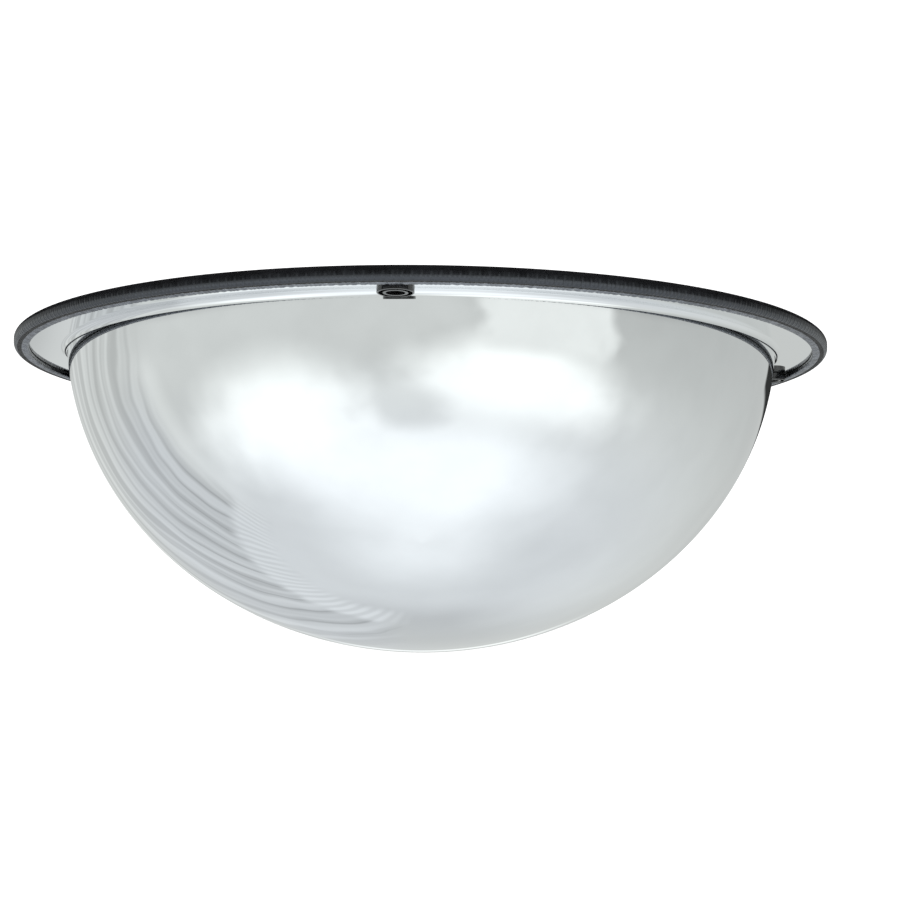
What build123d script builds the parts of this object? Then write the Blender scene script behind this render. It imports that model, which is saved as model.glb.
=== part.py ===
"""Full-dome convex security mirror for a ceiling, in millimetres.

Frame: +Z is up. The origin is the centre of the ceiling plane that the mirror
hangs against, so the whole mirror is at or below z = 0.

A hemispherical acrylic dome with a flat flange hangs below the ceiling. A
rounded channel trim with a steel core clips over the flange's cut edge. Four
screw cups go through holes in the flange. Behind each one, a nut holds it and
keeps the flange clear of the ceiling. One pair of cups is on the Y axis. The
other pair is side by side, a little behind the X axis.
"""

import os
from math import cos, pi, radians, sin

from build123d import *

# Edge trim: a channel section that closes on the flange's cut edge.
OUTER_DIAMETER = 660.0
TRIM_WIDTH = 11.2
TRIM_HEIGHT = 10.6
TRIM_OUTER_CORNER = 3.9
TRIM_LEG_CORNER = 0.8
OUTER_FLATS = 5
LEG_FLATS = 2
TRIM_BUTT_GAP = 0.3

# Steel core moulded into the trim.
CORE_THICKNESS = 0.9
CORE_COVER = 1.0
CORE_LEG_SETBACK = 2.0
CORE_FOLD = 1.7

# Soft lining that grips the flange inside the channel.
LINING_THICKNESS = 0.7
LINING_SETBACK = 0.6

# Acrylic shell: a truncated half-ellipsoid below a flat flange.
SHELL_THICKNESS = 3.0
FLANGE_DIAMETER = 652.0
FLANGE_FACE_DEPTH = 6.5
DOME_SEMI_WIDTH = 291.6
DOME_DEPTH = 246.8
DOME_CENTRE_HEIGHT = 13.0
THROAT_FILLET = 5.0

# Four screw stations: a pair on the Y axis, and a pair at the two sides.
FORE_AFT_SPACING = 614.0
SIDE_SPACING = 608.0
SIDE_SETBACK = 40.0
FLANGE_HOLE_DIAMETER = 10.0

# Screw cup: skirt, annular groove, well for the screw head, hollow stem.
CUP_DIAMETER = 23.2
CUP_HEIGHT = 5.4
CUP_RIM_WALL = 1.1
CUP_GROOVE_DEPTH = 3.8
CUP_EDGE_ROUND = 0.4
WELL_DIAMETER = 12.0
WELL_WALL = 1.8
WELL_DEPTH = 4.0
STEM_DIAMETER = 9.6
SCREW_BORE_DIAMETER = 5.2

# Rubber gasket that keeps the cup clear of the mirror face.
GASKET_THICKNESS = 0.6
GASKET_DIAMETER = 20.4
GASKET_HOLE_DIAMETER = 9.8

# Steel washer on the floor of the well.
WASHER_THICKNESS = 1.0
WASHER_DIAMETER = 11.6
WASHER_HOLE_DIAMETER = 5.5

# Hexagonal nut on the stem, behind the flange.
NUT_ACROSS_FLATS = 18.0
NUT_CHAMFER = 0.6

OUTER_RADIUS = OUTER_DIAMETER / 2
LEG_TIP_RADIUS = OUTER_RADIUS - TRIM_WIDTH
FLANGE_RADIUS = FLANGE_DIAMETER / 2
FLANGE_REAR_DEPTH = FLANGE_FACE_DEPTH - SHELL_THICKNESS
DOME_SEMI_HEIGHT = DOME_DEPTH + DOME_CENTRE_HEIGHT
BUTT_GAP_DEG = TRIM_BUTT_GAP / OUTER_RADIUS * 180 / pi
BUTT_JOINT_AZIMUTH = 135.0

# A 45 degree fold is shorter on its inside by this share of the thickness.
FOLD_SHORTENING = 2 - 2**0.5

# Cutting shapes reach this far past what they cut.
OVERCUT = 1.0
DRILL_LENGTH = 30.0


def block(r_low, r_high, z_low, z_high):
    """A rectangle in the section plane, given by its radii and heights."""
    middle = ((r_low + r_high) / 2, (z_low + z_high) / 2)
    return Pos(*middle) * Rectangle(r_high - r_low, z_high - z_low)


def spin(section, arc=360.0):
    """Turn a section of radius and height about the vertical axis."""
    return revolve(Plane.XZ * section, Axis.Z, revolution_arc=arc)


def near(vertices, radius, height, reach=1.0):
    """The section's vertices that lie close to one radius and height."""
    spot = Vector(radius, height)
    return [v for v in vertices if (Vector(v.X, v.Y) - spot).length < reach]


def half_ellipse(semi_width, semi_height):
    """The right lower part of an ellipse about the dome's centre."""
    whole = Pos(0, DOME_CENTRE_HEIGHT) * Ellipse(semi_width, semi_height)
    window = block(0, OUTER_RADIUS, -DOME_DEPTH - OVERCUT, 0)
    return whole & window


def throat_radius(semi_width, semi_height, z):
    """The ellipse's radius at a height."""
    drop = (z - DOME_CENTRE_HEIGHT) / semi_height
    return semi_width * (1 - drop**2) ** 0.5


def flange_hole_places():
    """The four hole centres: fore, right, aft and left."""
    y = FORE_AFT_SPACING / 2
    x = SIDE_SPACING / 2
    return [(0, -y), (x, SIDE_SETBACK), (0, y), (-x, SIDE_SETBACK)]


def mirror_dome():
    """The dome and its flange, one formed shell with four holes."""
    outer = half_ellipse(DOME_SEMI_WIDTH, DOME_SEMI_HEIGHT)
    inner_width = DOME_SEMI_WIDTH - SHELL_THICKNESS
    inner_height = DOME_SEMI_HEIGHT - SHELL_THICKNESS
    inner = half_ellipse(inner_width, inner_height)
    plate = block(0, FLANGE_RADIUS, -FLANGE_FACE_DEPTH, -FLANGE_REAR_DEPTH)
    below = block(0, OUTER_RADIUS, -DOME_DEPTH - OVERCUT, -FLANGE_REAR_DEPTH)
    section = ((outer & below) + plate) - inner

    face_radius = throat_radius(DOME_SEMI_WIDTH, DOME_SEMI_HEIGHT, -FLANGE_FACE_DEPTH)
    rear_radius = throat_radius(inner_width, inner_height, -FLANGE_REAR_DEPTH)
    face_corner = near(section.vertices(), face_radius, -FLANGE_FACE_DEPTH)
    section = fillet(face_corner, THROAT_FILLET)
    rear_corner = near(section.vertices(), rear_radius, -FLANGE_REAR_DEPTH)
    section = fillet(rear_corner, THROAT_FILLET + SHELL_THICKNESS)

    shell = spin(section)
    for x, y in flange_hole_places():
        drill = Cylinder(FLANGE_HOLE_DIAMETER / 2, DRILL_LENGTH)
        shell -= Pos(x, y, -FLANGE_FACE_DEPTH) * drill
    return shell


def channel(outer_radius, tip_radius, top, bottom, thickness):
    """A channel section that opens towards the axis."""
    whole = block(tip_radius, outer_radius, bottom, top)
    mouth = block(
        tip_radius - OVERCUT,
        outer_radius - thickness,
        bottom + thickness,
        top - thickness,
    )
    return whole - mouth


def lining_section():
    """Soft lining: fills the gap between the flange's edge and the trim."""
    return channel(
        FLANGE_RADIUS + LINING_THICKNESS,
        LEG_TIP_RADIUS + LINING_SETBACK,
        LINING_THICKNESS - FLANGE_REAR_DEPTH,
        -FLANGE_FACE_DEPTH - LINING_THICKNESS,
        LINING_THICKNESS,
    )


def core_section():
    """Steel core: a thin channel inside the trim's walls, with folded corners."""
    back = OUTER_RADIUS - CORE_COVER
    top = -CORE_COVER
    bottom = CORE_COVER - TRIM_HEIGHT
    inside = CORE_THICKNESS
    reach = inside / 2
    section = channel(back, LEG_TIP_RADIUS + CORE_LEG_SETBACK, top, bottom, inside)
    outside = near(section.vertices(), back, top, reach)
    outside += near(section.vertices(), back, bottom, reach)
    section = chamfer(outside, CORE_FOLD)
    hollow = near(section.vertices(), back - inside, top - inside, reach)
    hollow += near(section.vertices(), back - inside, bottom + inside, reach)
    return chamfer(hollow, CORE_FOLD - inside * FOLD_SHORTENING)


def quarter_round(r, z, radius, start, flats):
    """Points round a corner, anticlockwise from an angle in degrees."""
    turns = [radians(start + 90 * step / flats) for step in range(flats + 1)]
    return [(r + radius * cos(turn), z + radius * sin(turn)) for turn in turns]


def trim_section():
    """Trim body: rounded outside, open at the slot for flange and lining."""
    outer = OUTER_RADIUS - TRIM_OUTER_CORNER
    tip = LEG_TIP_RADIUS + TRIM_LEG_CORNER
    outline = quarter_round(outer, -TRIM_OUTER_CORNER, TRIM_OUTER_CORNER, 0, OUTER_FLATS)
    outline += quarter_round(tip, -TRIM_LEG_CORNER, TRIM_LEG_CORNER, 90, LEG_FLATS)
    low_tip = TRIM_LEG_CORNER - TRIM_HEIGHT
    outline += quarter_round(tip, low_tip, TRIM_LEG_CORNER, 180, LEG_FLATS)
    low_outer = TRIM_OUTER_CORNER - TRIM_HEIGHT
    outline += quarter_round(outer, low_outer, TRIM_OUTER_CORNER, 270, OUTER_FLATS)
    body = make_face(Polyline(*outline, close=True))
    slot = block(
        LEG_TIP_RADIUS - OVERCUT,
        FLANGE_RADIUS + LINING_THICKNESS,
        -FLANGE_FACE_DEPTH - LINING_THICKNESS,
        LINING_THICKNESS - FLANGE_REAR_DEPTH,
    )
    return body - slot - core_section()


def butted_ring(section):
    """A ring bent from a straight length, its two ends butted together."""
    ring = spin(section, 360.0 - BUTT_GAP_DEG)
    return Rot(0, 0, BUTT_JOINT_AZIMUTH + BUTT_GAP_DEG / 2) * ring


def screw_cup():
    """Screw cup about its own axis, its stem reaching up to the ceiling."""
    rim_radius = CUP_DIAMETER / 2
    well_radius = WELL_DIAMETER / 2
    seat = -FLANGE_FACE_DEPTH - GASKET_THICKNESS
    face = seat - CUP_HEIGHT

    body = block(0, rim_radius, face, seat)
    edge = near(body.vertices(), rim_radius, face)
    body = fillet(edge, CUP_EDGE_ROUND)
    stem = block(0, STEM_DIAMETER / 2, seat, 0)
    bore = block(0, SCREW_BORE_DIAMETER / 2, face, 0)
    well = block(0, well_radius, face, face + WELL_DEPTH)
    groove = block(
        well_radius + WELL_WALL,
        rim_radius - CUP_RIM_WALL,
        face,
        face + CUP_GROOVE_DEPTH,
    )
    return spin(body + stem - bore - well - groove)


def cup_gasket():
    """Rubber ring between the cup's seat and the mirror face."""
    seat = -FLANGE_FACE_DEPTH
    inner = GASKET_HOLE_DIAMETER / 2
    return spin(block(inner, GASKET_DIAMETER / 2, seat - GASKET_THICKNESS, seat))


def well_washer():
    """Steel washer that the screw head bears on."""
    floor = WELL_DEPTH - CUP_HEIGHT - GASKET_THICKNESS - FLANGE_FACE_DEPTH
    inner = WASHER_HOLE_DIAMETER / 2
    return spin(block(inner, WASHER_DIAMETER / 2, floor - WASHER_THICKNESS, floor))


def stem_nut():
    """Hexagonal nut between the flange's rear face and the ceiling."""
    inradius = NUT_ACROSS_FLATS / 2
    hexagon = RegularPolygon(inradius, 6, major_radius=False)
    nut = Pos(0, 0, -FLANGE_REAR_DEPTH) * extrude(hexagon, FLANGE_REAR_DEPTH)
    corner_radius = inradius / cos(pi / 6)
    turned = block(0, corner_radius, -FLANGE_REAR_DEPTH, 0)
    rims = near(turned.vertices(), corner_radius, 0)
    rims += near(turned.vertices(), corner_radius, -FLANGE_REAR_DEPTH)
    turned = spin(chamfer(rims, NUT_CHAMFER))
    bore = Cylinder(STEM_DIAMETER / 2, DRILL_LENGTH)
    return (nut & turned) - bore


def save(node, shape):
    """Write one node's solid."""
    export_step(shape, f"parts/{node}.step")


def main():
    os.makedirs("parts", exist_ok=True)
    save("mirror_dome", mirror_dome())
    save("edge_trim", butted_ring(trim_section()))
    save("trim_core", butted_ring(core_section()))
    save("trim_lining", butted_ring(lining_section()))
    for number, (x, y) in enumerate(flange_hole_places(), start=1):
        place = Pos(x, y, 0)
        save(f"screw_cup_{number}", place * screw_cup())
        save(f"cup_gasket_{number}", place * cup_gasket())
        save(f"well_washer_{number}", place * well_washer())
        save(f"stem_nut_{number}", place * stem_nut())


main()
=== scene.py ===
"""Looks of the full-dome convex security mirror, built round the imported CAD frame.

The mirror hangs from z = 0 with its dome below. The dome shell and the ribbed
edge trim are replaced by finely made meshes of the same size. The screw cups,
gaskets, washers, nuts, trim core and lining keep their CAD shapes and get
their own materials. The mirror reflects a soft light tent, which is the world.
"""

import math

import bpy
import numpy as np
from mathutils import Matrix, Vector


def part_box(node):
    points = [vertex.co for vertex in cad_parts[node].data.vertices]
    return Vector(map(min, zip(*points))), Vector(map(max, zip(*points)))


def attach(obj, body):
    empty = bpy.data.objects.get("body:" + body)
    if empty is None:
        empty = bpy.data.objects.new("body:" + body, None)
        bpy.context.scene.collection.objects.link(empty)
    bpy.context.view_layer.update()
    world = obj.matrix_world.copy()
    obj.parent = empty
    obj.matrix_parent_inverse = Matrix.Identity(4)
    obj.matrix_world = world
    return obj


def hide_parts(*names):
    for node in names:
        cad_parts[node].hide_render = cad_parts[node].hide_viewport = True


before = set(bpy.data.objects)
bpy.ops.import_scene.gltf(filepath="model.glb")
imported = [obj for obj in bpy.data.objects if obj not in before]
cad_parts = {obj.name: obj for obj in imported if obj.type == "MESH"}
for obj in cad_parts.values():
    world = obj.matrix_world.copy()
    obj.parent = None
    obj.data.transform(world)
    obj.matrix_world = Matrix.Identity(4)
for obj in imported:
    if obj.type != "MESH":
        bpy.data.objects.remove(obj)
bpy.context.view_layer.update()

MM = 0.001
ROOT = "root"

# Shell, as in the CAD model.
DOME_SEMI_WIDTH = 291.6 * MM
DOME_CENTRE_HEIGHT = 13.0 * MM
SHELL_THICKNESS = 3.0 * MM
THROAT_FILLET = 5.0 * MM
HOLE_RADIUS = 5.0 * MM
SHELL_SIDES = 288
ELLIPSE_STEPS = 72
FILLET_STEPS = 10
HALVINGS = 60
# A face's flatness is 0 on an upright wall and 1 where it is level. It stays below the first
# of these on the rim and in the holes, and below the second on the steepest part of the dome.
WALL_FLATNESS = 0.02
STEEP_FLATNESS = 0.3
SEAM_SLACK = 1e-6
NO_RADIUS = 1e-9
# Material slots of the shell.
MIRROR, LACQUER, CUT_EDGE = 0, 1, 2
DRILL_LOW = -20.0 * MM
DRILL_HIGH = 10.0 * MM
DRILL_SIDES = 48

# Trim, as in the CAD model, with the ribs of its roll and its inner lip.
TRIM_WIDTH = 11.2 * MM
TRIM_OUTER_CORNER = 3.9 * MM
TRIM_LEG_CORNER = 0.8 * MM
LINING_THICKNESS = 0.7 * MM
TRIM_BUTT_GAP = 0.3 * MM
# The butt joint's place round the trim, from +X towards +Y.
BUTT_JOINT_TURN = math.radians(135)
TOP_CORNER_STEPS = 10
ROLL_STEPS = 14
LEG_CORNER_STEPS = 5
SHARP_EDGE = math.radians(50)
RIB_COUNT = 360
STEPS_PER_RIB = 12
RIB_DEPTH = 0.35 * MM
FINE_RIB_DEPTH = 0.17 * MM
RIB_SHARPNESS = 6
FINE_RIB_SHARPNESS = 8
# The ribs start at RIB_TOP, and are at their full depth below RIB_FULL.
RIB_TOP = -4.5 * MM
RIB_FULL = -6.6 * MM
# The roll's lowest point is this far above the trim's bottom.
ROLL_LIFT = 0.40 * MM
# From the valley beside the roll to the lip: distance from the tip, and height above the bottom.
LIP_POINTS = [(6.3 * MM, 0.75 * MM), (5.4 * MM, 0.62 * MM), (3.6 * MM, 0.22 * MM)]
# The lip's ridge is an arc of radius LIP_RIDGE, from LIP_RIDGE_START degrees to the tip.
LIP_RIDGE = 1.6 * MM
LIP_RIDGE_START = -80
LIP_STEPS = 8
LIP_WAVE = 0.20 * MM
# Slow waves of the lip beside the ribs' own: share, waves round the trim, and start.
LIP_SLOW_WAVES = [(0.6, 41, 1), (0.5, 97, 0)]
# Material slots of the trim: ribbed vinyl; the lip, painted pale as painted light from below; and
# painted shade in the matt dark rubber, on the valley beside the lip and on the set number of
# rows before it.
RIBBED, PAINTED_LIGHT, PAINTED_SHADE = 0, 1, 2
PAINTED_SHADE_ROWS = 4

# Camera: it stands at this azimuth, measured from -Y towards +X, and below its aim by the drop.
# The pan, tilt and roll then turn it away from level and from the dome's axis. The lens and
# the sensor are in millimetres.
CAMERA_AZIMUTH = math.radians(3.2)
CAMERA_DISTANCE = 1.056
CAMERA_DROP = math.radians(9.574)
CAMERA_PAN = math.radians(1.272)
CAMERA_TILT = math.radians(5.672)
CAMERA_ROLL = math.radians(0.244)
CAMERA_LENS = 49.34
CAMERA_SENSOR = 36.0
CAMERA_REACH = 100.0
AIM_HEIGHT = -5.25 * MM

FLOOR_DROP = 1.25
FLOOR_RADIUS = 30.0
FLOOR_SIDES = 96

NOISE_LOW, NOISE_HIGH = 0.3, 0.7
NOISE_ROUGHNESS = 0.5

# Light tent. Directions are in degrees: across is the azimuth from the camera's side towards
# +X, behind is the same from the opposite side, and up is the elevation. A GREY is an 8-bit
# grey as seen in the mirror, overexposed above 255. LAMP and PLAIN_LIGHT are radiances.
# A SPAN (across or behind) or RISE (up) is a low end, a high end and half the edge's width.
# A FADE is the elevations, or the height of a pleat, where a smooth step starts and ends.
WALL_FADE, WALL_GREYS = (-44, 4), (214, 184)
FLOOR_FADE, FLOOR_GREYS = (-62, -86), (214, 242)
FLOOR_EDGE_FADE = (-56, -62)
FRONT_WALL_SPAN, FRONT_WALL_FADE, FRONT_WALL_GREY = (-100, 20, 14), (-34, -6), 205
PANEL_SPAN, PANEL_FADE, PANEL_GREY = (20, 61, 4), (-19, -12), 234
REAR_WALL_SPAN, REAR_WALL_RISE, REAR_WALL_GREY = (-24, 16, 12), (-56, -17, 7), 193
REAR_LAMP_SPAN, REAR_LAMP_RISE, REAR_LAMP_GREY = (-14, 10, 5), (-15.2, -11.2, 1.0), 244
STAND_SPAN, STAND_FADE, STAND_GREY = (144, 168, 2), (2.6, 4.2), 50
# Soft ellipses: centre, half size, and the shares of that where the edge starts and ends.
NEAR_FLOOR, NEAR_FLOOR_GREY = ((4, -62), (84, 27), (0.30, 1.30)), 261
LEFT_LAMP = ((-50, -39), (32, 22), (0.40, 1.45))
RIGHT_LAMP = ((33, -26), (36, 15), (0.40, 1.40))
SOFT_PATCH, SOFT_PATCH_GREY = ((-4, -37.5), (19, 8), (0.40, 1.35)), 222
# Noise: scale, detail, and the ends that it wanders between.
DRIFT = (2.8, 2.5, -5.0, 5.0)
CLOUD = (4.0, 3.0, 0.978, 1.022)
# The ceiling is dark, and lower over the camera's side by LOW_CEILING_DROP.
LOW_CEILING_SPAN, LOW_CEILING_DROP = (-95, 95, 20), 5.0
CEILING_FADE, CEILING_SHARE = (5, 15), 0.02

CURTAIN_SPAN, CURTAIN_RISE = (-80, -6, 5), (-54, 12, 2.5)
CURTAIN_LEAN = 0.22
CURTAIN_WANDER, CURTAIN_WANDER_NOISE = 14.0, (2.2, 2.0)
# Pleats by size: radians for each degree, and share of the shading.
BROAD_RATE, BROAD_SHARE = 0.42, 0.6
FOLD_RATE, FOLD_SHARE = 0.93, 0.8
FINE_RATE, FINE_SHARE = 2.1, 0.35
CLOTH_FADE, CLOTH_GREYS = (-1.6, 1.6), (181, 208)
CREASE_FADE, CREASE_UP_FADE = (-1.0, -0.86), (-20, -38)
CREASE_SHARE, CREASE_GREY = 0.45, 150
HEM_RISE, HEM_SWAY = (-56, -46, 1.8), 0.5
RUFFLE_FADE, RUFFLE_GREYS = (-1.0, 1.0), (207, 221)
EDGE_SPAN, EDGE_RISE = (-88, -78, 4), (-50, -6, 5)
EDGE_SHARE, EDGE_GREY = 0.7, 222

SHADE_GAMMA = 2.2
MIRROR_REFLECTANCE = 0.84
LAMP = 1.30
PLAIN_LIGHT = 1.3
UPPER_TINT = (0.965, 1.0, 0.985)
LOWER_TINT = (0.925, 0.967, 1.0)
TINT_FADE = (-10, -60)
CURTAIN_TINT_SPAN, CURTAIN_TINT_FADE = (-80, -2, 8), (-2, -25)


# ---------------------------------------------------------------- node helpers


class Nodes:
    """Short names for building one node tree."""

    def __init__(self, tree):
        self.tree = tree
        tree.nodes.clear()

    def add(self, kind, **settings):
        node = self.tree.nodes.new(kind)
        for key, value in settings.items():
            setattr(node, key, value)
        return node

    def put(self, socket, value):
        """Link a socket, or set its constant."""
        if isinstance(value, bpy.types.NodeSocket):
            self.tree.links.new(value, socket)
        else:
            socket.default_value = value

    def maths(self, operation, a, b=0.0):
        node = self.add("ShaderNodeMath", operation=operation)
        self.put(node.inputs[0], a)
        self.put(node.inputs[1], b)
        return node.outputs[0]

    def times(self, a, b):
        return self.maths("MULTIPLY", a, b)

    def plus(self, a, b):
        return self.maths("ADD", a, b)

    def smooth(self, value, low, high, to_low=0.0, to_high=1.0):
        """A smooth step from to_low to to_high as value goes from low to high."""
        node = self.add("ShaderNodeMapRange", interpolation_type="SMOOTHSTEP")
        self.put(node.inputs["Value"], value)
        node.inputs["From Min"].default_value = low
        node.inputs["From Max"].default_value = high
        node.inputs["To Min"].default_value = to_low
        node.inputs["To Max"].default_value = to_high
        return node.outputs["Result"]

    def window(self, value, low, high, soft):
        """1 between low and high, 0 outside, with soft edges."""
        rise = self.smooth(value, low - soft, low + soft)
        fall = self.smooth(value, high - soft, high + soft, 1.0, 0.0)
        return self.times(rise, fall)

    def blend(self, factor, a, b):
        """Number a where factor is 0, and b where it is 1."""
        node = self.add("ShaderNodeMix", data_type="FLOAT")
        self.put(node.inputs[0], factor)
        self.put(node.inputs[2], a)
        self.put(node.inputs[3], b)
        return node.outputs[0]

    def tint(self, factor, a, b):
        """Colour a where factor is 0, and b where it is 1."""
        node = self.add("ShaderNodeMix", data_type="RGBA")
        self.put(node.inputs[0], factor)
        self.put(node.inputs[6], (*a, 1.0))
        self.put(node.inputs[7], (*b, 1.0))
        return node.outputs[2]

    def dot(self, vector, axis):
        node = self.add("ShaderNodeVectorMath", operation="DOT_PRODUCT")
        self.put(node.inputs[0], vector)
        node.inputs[1].default_value = axis
        return node.outputs["Value"]

    def noise(self, place, scale, detail):
        node = self.add("ShaderNodeTexNoise")
        self.put(node.inputs["Vector"], place)
        node.inputs["Scale"].default_value = scale
        node.inputs["Detail"].default_value = detail
        node.inputs["Roughness"].default_value = NOISE_ROUGHNESS
        return node.outputs["Fac"]

    def wander(self, place, scale, detail, low=0.0, high=1.0):
        """Noise that runs smoothly from low to high."""
        return self.smooth(self.noise(place, scale, detail), NOISE_LOW, NOISE_HIGH, low, high)

    def bump(self, height, strength, distance):
        """A normal from a height. distance is in metres."""
        node = self.add("ShaderNodeBump")
        node.inputs["Strength"].default_value = strength
        node.inputs["Distance"].default_value = distance
        self.put(node.inputs["Height"], height)
        return node.outputs["Normal"]

    def place(self):
        """The place on the object, in metres."""
        return self.add("ShaderNodeTexCoord").outputs["Object"]


def surface(name, colour, roughness, normal=None, **fixed):
    """A Principled material.

    colour, roughness and normal are functions of the node builder and the place on the
    object. fixed holds constants for the shader's own sockets, by name.
    """
    material = bpy.data.materials.new(name)
    material.use_nodes = True
    nodes = Nodes(material.node_tree)
    shader = nodes.add("ShaderNodeBsdfPrincipled")
    output = nodes.add("ShaderNodeOutputMaterial")
    nodes.put(output.inputs["Surface"], shader.outputs[0])
    place = nodes.place()
    nodes.put(shader.inputs["Base Color"], colour(nodes, place))
    nodes.put(shader.inputs["Roughness"], roughness(nodes, place))
    if normal:
        nodes.put(shader.inputs["Normal"], normal(nodes, place))
    for key, value in fixed.items():
        shader.inputs[key.replace("_", " ")].default_value = value
    return material


def between(low, high, scale, detail=3.0):
    """A roughness that wanders between two values."""
    def build(nodes, place):
        return nodes.wander(place, scale, detail, low, high)
    return build


def mottled(a, b, scale, detail=4.0):
    """A colour that wanders between two colours."""
    def build(nodes, place):
        return nodes.tint(nodes.wander(place, scale, detail), a, b)
    return build


# ------------------------------------------------------------------- materials


def mirror_face():
    """Silvered acrylic seen through its clear, gently wavy front face."""
    def waves(nodes, place):
        slow = nodes.noise(place, 5.0, 1.0)
        return nodes.bump(slow, 0.35, 0.0012)
    return surface(
        "mirror_face",
        mottled((0.815, 0.83, 0.835), (0.835, 0.85, 0.855), 4.0),
        between(0.012, 0.035, 30.0, 6.0),
        waves,
        Metallic=1.0,
        Coat_Weight=0.6,
        Coat_Roughness=0.01,
        Coat_IOR=1.49,
    )


def grey_lacquer():
    """Grey protective paint sprayed over the silvering at the back."""
    def peel(nodes, place):
        fine = nodes.noise(place, 420.0, 2.0)
        return nodes.bump(fine, 0.25, 0.0004)
    return surface(
        "grey_lacquer",
        mottled((0.315, 0.325, 0.335), (0.345, 0.355, 0.365), 160.0, 5.0),
        between(0.48, 0.56, 220.0, 4.0),
        peel,
    )


def acrylic_edge():
    """The cut edge of the acrylic sheet, with saw marks."""
    def marks(nodes, place):
        return nodes.bump(nodes.noise(place, 900.0, 2.0), 0.5, 0.0003)
    return surface(
        "acrylic_edge",
        mottled((0.62, 0.68, 0.67), (0.72, 0.77, 0.76), 300.0),
        between(0.35, 0.55, 500.0),
        marks,
        IOR=1.49,
    )


def ribbed_vinyl():
    """Black vinyl of the edge trim: fine grain, dusty bloom and rubbed high spots."""
    def grain(nodes, place):
        return nodes.bump(nodes.noise(place, 1600.0, 3.0), 0.12, 0.00015)
    return surface(
        "ribbed_vinyl",
        mottled((0.002, 0.002, 0.002), (0.005, 0.005, 0.006), 45.0, 7.0),
        between(0.20, 0.32, 160.0, 6.0),
        grain,
        Specular_IOR_Level=1.0,
        Specular_Tint=(0.84, 0.90, 1.0, 1.0),
    )


def lip_vinyl_painted_light():
    """The trim's soft inner lip: the same vinyl, painted pale as painted light where the light
    from below falls on it.
    """
    def grain(nodes, place):
        return nodes.bump(nodes.noise(place, 900.0, 3.0), 0.3, 0.0003)
    return surface(
        "lip_vinyl_painted_light",
        mottled((0.030, 0.033, 0.040), (0.115, 0.125, 0.145), 240.0, 2.0),
        between(0.22, 0.34, 160.0, 6.0),
        grain,
        Specular_IOR_Level=1.0,
        Specular_Tint=(0.84, 0.90, 1.0, 1.0),
    )


def moulded_black():
    """Black polypropylene with a fine spark-eroded texture."""
    def texture(nodes, place):
        return nodes.bump(nodes.noise(place, 2600.0, 2.0), 0.2, 0.00008)
    return surface(
        "moulded_black",
        mottled((0.004, 0.004, 0.004), (0.009, 0.009, 0.010), 220.0),
        between(0.12, 0.20, 700.0),
        texture,
        Specular_IOR_Level=1.0,
    )


def soft_rubber():
    """Matt black rubber of the gaskets and the trim's lining, also laid on the trim's valley
    beside the lip as painted shade.
    """
    def texture(nodes, place):
        return nodes.bump(nodes.noise(place, 1800.0, 4.0), 0.5, 0.00012)
    return surface(
        "soft_rubber",
        mottled((0.018, 0.018, 0.018), (0.035, 0.035, 0.034), 260.0),
        between(0.68, 0.86, 500.0),
        texture,
    )


def black_oxide():
    """Steel washers with a black oxide finish."""
    def texture(nodes, place):
        return nodes.bump(nodes.noise(place, 2200.0, 3.0), 0.3, 0.00008)
    return surface(
        "black_oxide",
        mottled((0.030, 0.031, 0.034), (0.070, 0.070, 0.074), 400.0, 6.0),
        between(0.28, 0.44, 900.0),
        texture,
        Metallic=0.85,
    )


def zinc_steel():
    """Bright zinc on the steel core."""
    def spangle(nodes, place):
        return nodes.bump(nodes.noise(place, 700.0, 2.0), 0.2, 0.0001)
    return surface(
        "zinc_steel",
        mottled((0.46, 0.47, 0.48), (0.60, 0.61, 0.62), 120.0),
        between(0.26, 0.40, 300.0),
        spangle,
        Metallic=1.0,
    )


def pale_floor():
    """Plain pale floor with a faint cloudiness."""
    return surface(
        "pale_floor",
        mottled((0.88, 0.88, 0.88), (0.91, 0.91, 0.91), 0.8),
        between(0.85, 0.95, 2.0),
    )


# ---------------------------------------------------------------------- meshes


def arc(centre, radius, start, end, steps):
    """Points of a circular arc in the section plane. Angles are in degrees."""
    turns = np.radians(np.linspace(start, end, steps + 1))
    return [(centre[0] + radius * math.cos(t), centre[1] + radius * math.sin(t)) for t in turns]


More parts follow.
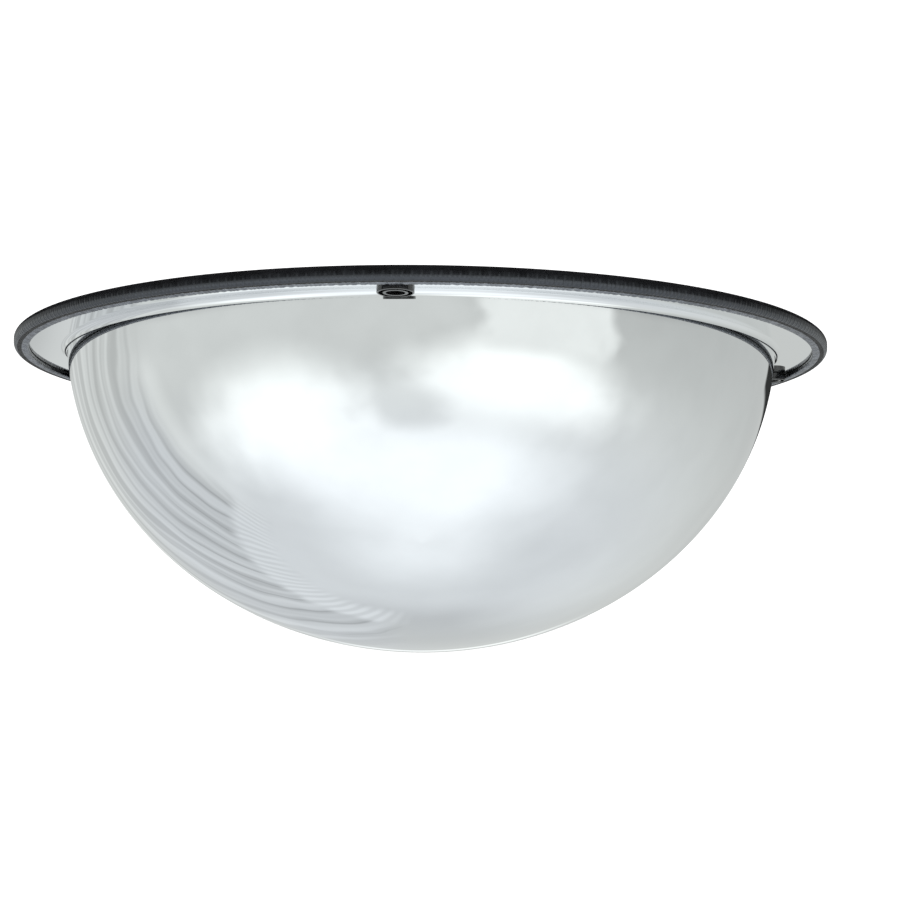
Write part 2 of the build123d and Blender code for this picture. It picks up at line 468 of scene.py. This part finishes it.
class ShellSide:
    """One face of the shell: a flat flange, a throat fillet and an ellipse.

    The fillet's centre is outside the dome, below the flange, on the mirror side and
    on the rear alike, because the two fillets share their centre.
    """

    def __init__(self, height, semi_width, semi_height, fillet):
        self.height = height
        self.semi_width = semi_width
        self.semi_height = semi_height
        self.fillet = fillet
        self.foot_turn, self.centre = self.fillet_place()
        back = self.outward(self.foot_turn)
        self.tangent = (self.centre[0] - fillet * back.x, self.centre[1] - fillet * back.y)

    def point(self, turn):
        """A point on the ellipse. turn is 0 at the widest and 90 degrees at the bottom."""
        return (
            self.semi_width * math.cos(turn),
            DOME_CENTRE_HEIGHT - self.semi_height * math.sin(turn),
        )

    def outward(self, turn):
        """The ellipse's outward unit normal in the section plane."""
        normal = Vector((math.cos(turn) / self.semi_width, -math.sin(turn) / self.semi_height))
        return normal.normalized()

    def fillet_place(self):
        """Where the fillet meets the ellipse, and the fillet's centre."""
        depth = self.height - self.fillet
        low, high = 0.0, math.pi / 2
        for _ in range(HALVINGS):
            turn = (low + high) / 2
            r, z = self.point(turn)
            normal = self.outward(turn)
            if z + self.fillet * normal.y > depth:
                low = turn
            else:
                high = turn
        return turn, (r + self.fillet * normal.x, depth)

    def profile(self, outer_radius):
        """Points from the flange's edge to the bottom of the dome."""
        points = [(outer_radius, self.height)]
        back = self.outward(self.foot_turn)
        last = math.atan2(-back.y, -back.x)
        for t in np.linspace(math.pi / 2, last, FILLET_STEPS + 1):
            points.append((
                self.centre[0] + self.fillet * math.cos(t),
                self.centre[1] + self.fillet * math.sin(t),
            ))
        for turn in np.linspace(self.foot_turn, math.pi / 2, ELLIPSE_STEPS + 1)[1:]:
            points.append(self.point(turn))
        return points


def spun(points, turns):
    """Vertices of a section turned to each angle, ring by ring along the section."""
    points = np.array(points)
    cos, sin = np.cos(turns), np.sin(turns)
    x = points[:, 0:1] * cos
    y = points[:, 0:1] * sin
    z = np.repeat(points[:, 1:2], len(turns), axis=1)
    return np.stack([x, y, z], axis=-1)


def quads(rows, columns, wrap_rows, wrap_columns):
    """Faces of a grid of rows by columns vertices."""
    faces = []
    for i in range(rows if wrap_rows else rows - 1):
        for j in range(columns if wrap_columns else columns - 1):
            i2, j2 = (i + 1) % rows, (j + 1) % columns
            faces.append((i * columns + j, i2 * columns + j, i2 * columns + j2, i * columns + j2))
    return faces


def new_object(name, vertices, faces, smooth=True):
    """A mesh object, linked to the scene."""
    mesh = bpy.data.meshes.new(name)
    mesh.from_pydata([tuple(v) for v in vertices], [], faces)
    mesh.validate()
    if smooth:
        mesh.shade_smooth()
    piece = bpy.data.objects.new(name, mesh)
    bpy.context.scene.collection.objects.link(piece)
    return piece


def hole_places():
    """Centres of the four screw cups, from the CAD nodes."""
    places = []
    for node in sorted(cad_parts):
        if node.startswith("screw_cup"):
            low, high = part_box(node)
            places.append(((low.x + high.x) / 2, (low.y + high.y) / 2))
    return places


def dome_sides():
    """The mirror side and the rear side of the shell, sized from the CAD node."""
    low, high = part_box("mirror_dome")
    rear_height = high.z
    face_height = high.z - SHELL_THICKNESS
    semi_height = DOME_CENTRE_HEIGHT - low.z
    face = ShellSide(face_height, DOME_SEMI_WIDTH, semi_height, THROAT_FILLET)
    rear = ShellSide(
        rear_height,
        DOME_SEMI_WIDTH - SHELL_THICKNESS,
        semi_height - SHELL_THICKNESS,
        THROAT_FILLET + SHELL_THICKNESS,
    )
    return face, rear, high.x


def make_dome():
    """The dome shell, which replaces mirror_dome."""
    face, rear, radius = dome_sides()
    face_points = face.profile(radius)
    rear_points = rear.profile(radius)
    turns = np.linspace(0, 2 * math.pi, SHELL_SIDES, endpoint=False)

    # From the bottom of the mirror side out to the rim, then back down the rear.
    section = face_points[-2::-1] + rear_points[:-1]
    rings = len(section)
    vertices = spun(section, turns).reshape(-1, 3).tolist()
    faces = quads(rings, SHELL_SIDES, False, True)
    vertices += [(0, 0, face_points[-1][1]), (0, 0, rear_points[-1][1])]
    bottom, top = len(vertices) - 2, len(vertices) - 1
    last = (rings - 1) * SHELL_SIDES
    for j in range(SHELL_SIDES):
        k = (j + 1) % SHELL_SIDES
        faces.append((bottom, j, k))
        faces.append((top, last + k, last + j))
    shell = new_object("dome_shell", vertices, faces)
    for material in (mirror_face(), grey_lacquer(), acrylic_edge()):
        shell.data.materials.append(material)

    rim_ring = len(face_points) - 2
    for polygon in shell.data.polygons:
        ring = min(polygon.vertices) // SHELL_SIDES
        if bottom in polygon.vertices or ring < rim_ring:
            polygon.material_index = MIRROR
        elif ring == rim_ring and top not in polygon.vertices:
            polygon.material_index = CUT_EDGE
        else:
            polygon.material_index = LACQUER
    drill_holes(shell)
    set_shell_normals(shell, face, rear)
    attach(shell, ROOT)
    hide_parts("mirror_dome")


def drill_holes(shell):
    """Cut the four screw-cup holes through the flange."""
    drills = []
    turns = np.linspace(0, 2 * math.pi, DRILL_SIDES, endpoint=False)
    for x, y in hole_places():
        ring = [(x + HOLE_RADIUS * math.cos(t), y + HOLE_RADIUS * math.sin(t)) for t in turns]
        low = [(a, b, DRILL_LOW) for a, b in ring]
        high = [(a, b, DRILL_HIGH) for a, b in ring]
        count = len(ring)
        faces = [(j, (j + 1) % count, count + (j + 1) % count, count + j) for j in range(count)]
        faces += [tuple(range(count))[::-1], tuple(range(count, 2 * count))]
        drill = new_object("drill", low + high, faces, smooth=False)
        cut = shell.modifiers.new("hole", "BOOLEAN")
        cut.operation = "DIFFERENCE"
        cut.solver = "EXACT"
        cut.object = drill
        drills.append(drill)
    apply_modifiers(shell)
    for drill in drills:
        mesh = drill.data
        bpy.data.objects.remove(drill)
        bpy.data.meshes.remove(mesh)


def apply_modifiers(piece):
    """Keep the mesh that the modifiers make, and drop them."""
    bpy.context.view_layer.update()
    graph = bpy.context.evaluated_depsgraph_get()
    made = bpy.data.meshes.new_from_object(piece.evaluated_get(graph))
    piece.modifiers.clear()
    piece.data = made


def set_shell_normals(shell, face, rear):
    """Exact normals, so that the mirror's reflections are smooth."""
    mesh = shell.data
    normals = []
    for polygon in mesh.polygons:
        for index in polygon.loop_indices:
            spot = mesh.vertices[mesh.loops[index].vertex_index].co
            normals.append(shell_normal(spot, polygon, face, rear))
    mesh.normals_split_custom_set(normals)


def shell_normal(spot, polygon, face, rear):
    """The normal of the shell's true surface at a corner of one of its faces."""
    radius = math.hypot(spot.x, spot.y)
    flatness = abs(polygon.normal.z)
    if flatness < WALL_FLATNESS and radius > face.centre[0] + face.fillet:
        return tuple(polygon.normal)
    side, sign = face, 1.0
    if polygon.normal.z > 0 or (flatness < STEEP_FLATNESS and inward(polygon)):
        side, sign = rear, -1.0
    if radius >= side.centre[0] or radius < NO_RADIUS:
        return (0.0, 0.0, -sign)
    if spot.z > side.tangent[1] + SEAM_SLACK:
        r, z = side.centre[0] - radius, side.centre[1] - spot.z
    else:
        r = radius / side.semi_width**2
        z = (spot.z - DOME_CENTRE_HEIGHT) / side.semi_height**2
    length = math.hypot(r, z)
    r, z = r / length, z / length
    return (sign * r * spot.x / radius, sign * r * spot.y / radius, sign * z)


def inward(polygon):
    """Whether a face looks towards the dome's axis."""
    return polygon.normal.x * polygon.center.x + polygon.normal.y * polygon.center.y < 0


def trim_outline():
    """The trim's closed section: the ribbed roll, then the lip, the slot and the upper leg."""
    low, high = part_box("edge_trim")
    flange_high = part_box("mirror_dome")[1]
    outer, top, bottom = high.x, high.z, low.z
    tip = outer - TRIM_WIDTH
    slot_back = flange_high.x + LINING_THICKNESS
    slot_top = flange_high.z + LINING_THICKNESS
    slot_low = flange_high.z - SHELL_THICKNESS - LINING_THICKNESS
    big, small = TRIM_OUTER_CORNER, TRIM_LEG_CORNER

    roll = arc((outer - big, top - big), big, 90, 0, TOP_CORNER_STEPS)
    roll += arc((outer - big, bottom + big + ROLL_LIFT), big, 0, -90, ROLL_STEPS)
    rest = [(tip + inset, bottom + lift) for inset, lift in LIP_POINTS]
    ridge_centre = (tip + LIP_RIDGE, bottom + LIP_RIDGE)
    rest += arc(ridge_centre, LIP_RIDGE, LIP_RIDGE_START, -180, LIP_STEPS)
    rest += [(tip, slot_low), (slot_back, slot_low)]
    rest += [(slot_back, slot_top), (tip, slot_top)]
    rest += arc((tip + small, top - small), small, 180, 90, LEG_CORNER_STEPS)
    return roll, rest


def inward_steps(section, count):
    """Unit steps into the trim at the section's first count points, and none at the others."""
    middle = section[:count].mean(axis=0)
    steps = np.zeros_like(section)
    for i in range(count):
        along = section[(i + 1) % len(section)] - section[i - 1]
        step = np.array([along[1], -along[0]])
        step /= np.linalg.norm(step)
        steps[i] = step if np.dot(step, middle - section[i]) >= 0 else -step
    return steps


def make_trim():
    """The ribbed trim with its lip, which replaces edge_trim."""
    roll, rest = trim_outline()
    section = np.array(roll + rest)
    rise = np.clip((RIB_TOP - section[:, 1]) / (RIB_TOP - RIB_FULL), 0, 1)
    relief = rise * rise * (3 - 2 * rise)
    relief[len(roll) - 1:] = 0.0
    steps = inward_steps(section, len(roll)) * relief[:, None]

    columns = RIB_COUNT * STEPS_PER_RIB + 1
    gap = TRIM_BUTT_GAP / section[:, 0].max()
    share = np.linspace(0, 1, columns)
    turns = BUTT_JOINT_TURN + gap / 2 + share * (2 * math.pi - gap)
    phase = share * RIB_COUNT * 2 * math.pi
    groove = ((1 + np.cos(phase)) / 2) ** RIB_SHARPNESS
    fine = ((1 + np.cos(phase + math.pi)) / 2) ** FINE_RIB_SHARPNESS
    depth = RIB_DEPTH * groove + FINE_RIB_DEPTH * fine
    wave = np.sin(phase)
    for size, count, start in LIP_SLOW_WAVES:
        wave = wave + size * np.sin(phase * count / RIB_COUNT + start)
    wave = wave * LIP_WAVE

    r = section[:, 0:1] + steps[:, 0:1] * depth
    z = section[:, 1:2] + steps[:, 1:2] * depth
    lip_start = len(roll) + 1
    lip_end = len(roll) + len(LIP_POINTS) + LIP_STEPS
    r[lip_start:lip_end] += wave / 2
    z[lip_start:lip_end] += np.abs(wave)
    rows = len(section)
    vertices = np.stack([r * np.cos(turns), r * np.sin(turns), z], axis=-1).reshape(-1, 3)
    faces = quads(rows, columns, True, False)
    faces.append(tuple(i * columns for i in range(rows)))
    faces.append(tuple(i * columns + columns - 1 for i in reversed(range(rows))))
    trim = new_object("ribbed_trim", vertices.tolist(), faces)
    trim.data.set_sharp_from_angle(angle=SHARP_EDGE)
    fix_outward(trim)
    for material in (ribbed_vinyl(), lip_vinyl_painted_light(), soft_rubber()):
        trim.data.materials.append(material)
    for polygon in trim.data.polygons:
        row = polygon.index // (columns - 1)
        # The lip's faces are painted light, and the valley beside it, with the rows before it, is
        # painted shade.
        if lip_start <= row < lip_end - 1:
            polygon.material_index = PAINTED_LIGHT
        elif len(roll) - PAINTED_SHADE_ROWS <= row < lip_start:
            polygon.material_index = PAINTED_SHADE
        else:
            polygon.material_index = RIBBED
    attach(trim, ROOT)
    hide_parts("edge_trim")


def fix_outward(piece):
    """Turn the faces outward if the closed mesh is inside out."""
    mesh = piece.data
    volume = 0.0
    mesh.calc_loop_triangles()
    for t in mesh.loop_triangles:
        a, b, c = (mesh.vertices[i].co for i in t.vertices)
        volume += a.dot(b.cross(c))
    if volume < 0:
        mesh.flip_normals()


def dress_hardware():
    """Materials for the CAD nodes that keep their shapes."""
    finishes = {
        "screw_cup": moulded_black(),
        "stem_nut": moulded_black(),
        "cup_gasket": soft_rubber(),
        "trim_lining": soft_rubber(),
        "well_washer": black_oxide(),
        "trim_core": zinc_steel(),
    }
    for node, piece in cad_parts.items():
        for start, material in finishes.items():
            if node.startswith(start):
                piece.data.materials.clear()
                piece.data.materials.append(material)


# ----------------------------------------------------------------------- stage


def make_floor():
    """A plain disc far below the mirror, which the mirror itself doesn't reflect."""
    turns = np.linspace(0, 2 * math.pi, FLOOR_SIDES, endpoint=False)
    rim = [(FLOOR_RADIUS * math.cos(t), FLOOR_RADIUS * math.sin(t), -FLOOR_DROP) for t in turns]
    floor = new_object("floor", rim, [tuple(range(len(rim)))], smooth=False)
    floor.data.materials.append(pale_floor())
    floor.visible_glossy = False


def camera_directions():
    """Level unit vectors from the dome's axis towards the camera, and to the camera's right."""
    front = Vector((math.sin(CAMERA_AZIMUTH), -math.cos(CAMERA_AZIMUTH), 0.0))
    return front, Vector((-front.y, front.x, 0.0))


def make_camera():
    """The camera, just below the mirror's rim and looking slightly up."""
    front, side = camera_directions()
    aim = Vector((0.0, 0.0, AIM_HEIGHT))
    away = front * CAMERA_DISTANCE * math.cos(CAMERA_DROP)
    drop = Vector((0.0, 0.0, CAMERA_DISTANCE * math.sin(CAMERA_DROP)))
    ahead = -front * math.cos(CAMERA_PAN) + side * math.sin(CAMERA_PAN)
    look = ahead * math.cos(CAMERA_TILT) + Vector((0, 0, math.sin(CAMERA_TILT)))
    right = look.cross(Vector((0, 0, 1))).normalized()
    up = right.cross(look)
    turned_right = right * math.cos(CAMERA_ROLL) + up * math.sin(CAMERA_ROLL)
    turned_up = up * math.cos(CAMERA_ROLL) - right * math.sin(CAMERA_ROLL)
    data = bpy.data.cameras.new("camera")
    data.lens = CAMERA_LENS
    data.sensor_width = CAMERA_SENSOR
    data.clip_end = CAMERA_REACH
    camera = bpy.data.objects.new("camera", data)
    axes = Matrix((turned_right, turned_up, -look)).transposed()
    camera.matrix_world = Matrix.Translation(aim + away - drop) @ axes.to_4x4()
    bpy.context.scene.collection.objects.link(camera)
    bpy.context.scene.camera = camera


def blob(nodes, across, up, centre, size, edge):
    """A soft-edged ellipse, 1 inside and 0 outside."""
    x = nodes.maths("DIVIDE", nodes.maths("SUBTRACT", across, centre[0]), size[0])
    y = nodes.maths("DIVIDE", nodes.maths("SUBTRACT", up, centre[1]), size[1])
    reach = nodes.maths("SQRT", nodes.plus(nodes.times(x, x), nodes.times(y, y)))
    return nodes.smooth(reach, edge[0], edge[1], 1.0, 0.0)


def level(grey):
    """The radiance that shows as this 8-bit grey in the mirror."""
    return (grey / 255) ** SHADE_GAMMA / MIRROR_REFLECTANCE


def room_light(nodes, across, behind, up):
    """Radiance of the light tent by direction, each part laid over the ones before it."""
    place = nodes.add("ShaderNodeTexCoord").outputs["Generated"]
    walls = nodes.smooth(up, *WALL_FADE, *map(level, WALL_GREYS))
    floor = nodes.smooth(up, *FLOOR_FADE, *map(level, FLOOR_GREYS))
    glow = nodes.blend(nodes.smooth(up, *FLOOR_EDGE_FADE), walls, floor)
    front_wall = nodes.times(
        nodes.window(across, *FRONT_WALL_SPAN), nodes.smooth(up, *FRONT_WALL_FADE))
    glow = nodes.blend(front_wall, glow, level(FRONT_WALL_GREY))

    across = nodes.plus(across, nodes.wander(place, *DRIFT))
    glow = nodes.blend(blob(nodes, across, up, *NEAR_FLOOR), glow, level(NEAR_FLOOR_GREY))
    glow = nodes.blend(blob(nodes, across, up, *LEFT_LAMP), glow, LAMP)
    glow = nodes.blend(blob(nodes, across, up, *RIGHT_LAMP), glow, LAMP)
    panel = nodes.times(nodes.window(across, *PANEL_SPAN), nodes.smooth(up, *PANEL_FADE))
    glow = nodes.blend(panel, glow, level(PANEL_GREY))
    glow = nodes.blend(blob(nodes, across, up, *SOFT_PATCH), glow, level(SOFT_PATCH_GREY))

    rear_wall = nodes.times(
        nodes.window(behind, *REAR_WALL_SPAN), nodes.window(up, *REAR_WALL_RISE))
    glow = nodes.blend(rear_wall, glow, level(REAR_WALL_GREY))
    rear_lamp = nodes.times(
        nodes.window(behind, *REAR_LAMP_SPAN), nodes.window(up, *REAR_LAMP_RISE))
    glow = nodes.blend(rear_lamp, glow, level(REAR_LAMP_GREY))
    stand = nodes.times(nodes.window(across, *STAND_SPAN), nodes.smooth(up, *STAND_FADE))
    glow = nodes.blend(stand, glow, level(STAND_GREY))
    glow = curtain(nodes, place, behind, up, glow)
    glow = nodes.times(glow, nodes.wander(place, *CLOUD))

    low_ceiling = nodes.times(nodes.window(across, *LOW_CEILING_SPAN), LOW_CEILING_DROP)
    above = nodes.plus(up, low_ceiling)
    return nodes.times(glow, nodes.smooth(above, *CEILING_FADE, 1.0, CEILING_SHARE))


def curtain(nodes, place, behind, up, glow):
    """A pleated curtain with a ruffled hem, at the left behind the mirror, laid over glow."""
    along = nodes.plus(behind, nodes.times(up, CURTAIN_LEAN))
    sway = nodes.times(nodes.noise(place, *CURTAIN_WANDER_NOISE), CURTAIN_WANDER)
    along = nodes.plus(along, sway)
    broad = nodes.maths("SINE", nodes.times(along, BROAD_RATE))
    fold = nodes.maths("SINE", nodes.times(along, FOLD_RATE))
    fine = nodes.maths("SINE", nodes.times(along, FINE_RATE))
    pleat = nodes.plus(nodes.times(fold, FOLD_SHARE), nodes.times(fine, FINE_SHARE))
    pleat = nodes.plus(pleat, nodes.times(broad, BROAD_SHARE))
    cloth = nodes.smooth(pleat, *CLOTH_FADE, *map(level, CLOTH_GREYS))

    crease = nodes.times(
        nodes.smooth(fold, *CREASE_FADE, 1.0, 0.0), nodes.smooth(up, *CREASE_UP_FADE))
    cloth = nodes.blend(nodes.times(crease, CREASE_SHARE), cloth, level(CREASE_GREY))
    hem = nodes.window(nodes.plus(up, nodes.times(fold, HEM_SWAY)), *HEM_RISE)
    ruffle = nodes.smooth(fine, *RUFFLE_FADE, *map(level, RUFFLE_GREYS))
    cloth = nodes.blend(hem, cloth, ruffle)

    edge = nodes.times(nodes.window(behind, *EDGE_SPAN), nodes.window(up, *EDGE_RISE))
    glow = nodes.blend(nodes.times(edge, EDGE_SHARE), glow, level(EDGE_GREY))
    inside = nodes.times(nodes.window(behind, *CURTAIN_SPAN), nodes.window(up, *CURTAIN_RISE))
    return nodes.blend(inside, glow, cloth)


def make_world():
    """The light tent for glossy rays, and an even white light for all the others."""
    world = bpy.data.worlds.new("light_tent")
    bpy.context.scene.world = world
    world.use_nodes = True
    nodes = Nodes(world.node_tree)
    ray = nodes.add("ShaderNodeTexCoord").outputs["Generated"]
    front, side = camera_directions()
    ahead = nodes.dot(ray, front)
    right = nodes.dot(ray, side)
    to_degrees = 180 / math.pi
    back = nodes.times(ahead, -1.0)
    height = nodes.dot(ray, (0.0, 0.0, 1.0))
    across = nodes.times(nodes.maths("ARCTAN2", right, ahead), to_degrees)
    behind = nodes.times(nodes.maths("ARCTAN2", right, back), to_degrees)
    up = nodes.times(nodes.maths("ARCSINE", height), to_degrees)

    cloth = nodes.times(
        nodes.window(behind, *CURTAIN_TINT_SPAN), nodes.smooth(up, *CURTAIN_TINT_FADE))
    cool = nodes.maths("MAXIMUM", nodes.smooth(up, *TINT_FADE), cloth)
    tint = nodes.tint(cool, UPPER_TINT, LOWER_TINT)
    tent = nodes.add("ShaderNodeBackground")
    nodes.put(tent.inputs["Color"], tint)
    nodes.put(tent.inputs["Strength"], room_light(nodes, across, behind, up))
    plain = nodes.add("ShaderNodeBackground")
    plain.inputs["Color"].default_value = (1.0, 1.0, 1.0, 1.0)
    plain.inputs["Strength"].default_value = PLAIN_LIGHT
    path = nodes.add("ShaderNodeLightPath")
    mixed = nodes.add("ShaderNodeMixShader")
    nodes.put(mixed.inputs[0], path.outputs["Is Glossy Ray"])
    nodes.put(mixed.inputs[1], plain.outputs[0])
    nodes.put(mixed.inputs[2], tent.outputs[0])
    output = nodes.add("ShaderNodeOutputWorld")
    nodes.put(output.inputs["Surface"], mixed.outputs[0])


def main():
    """Build the stage and the pieces, with colours shown as they are."""
    make_camera()
    make_world()
    make_floor()
    make_dome()
    make_trim()
    dress_hardware()
    bpy.context.scene.view_settings.view_transform = "Standard"


main()
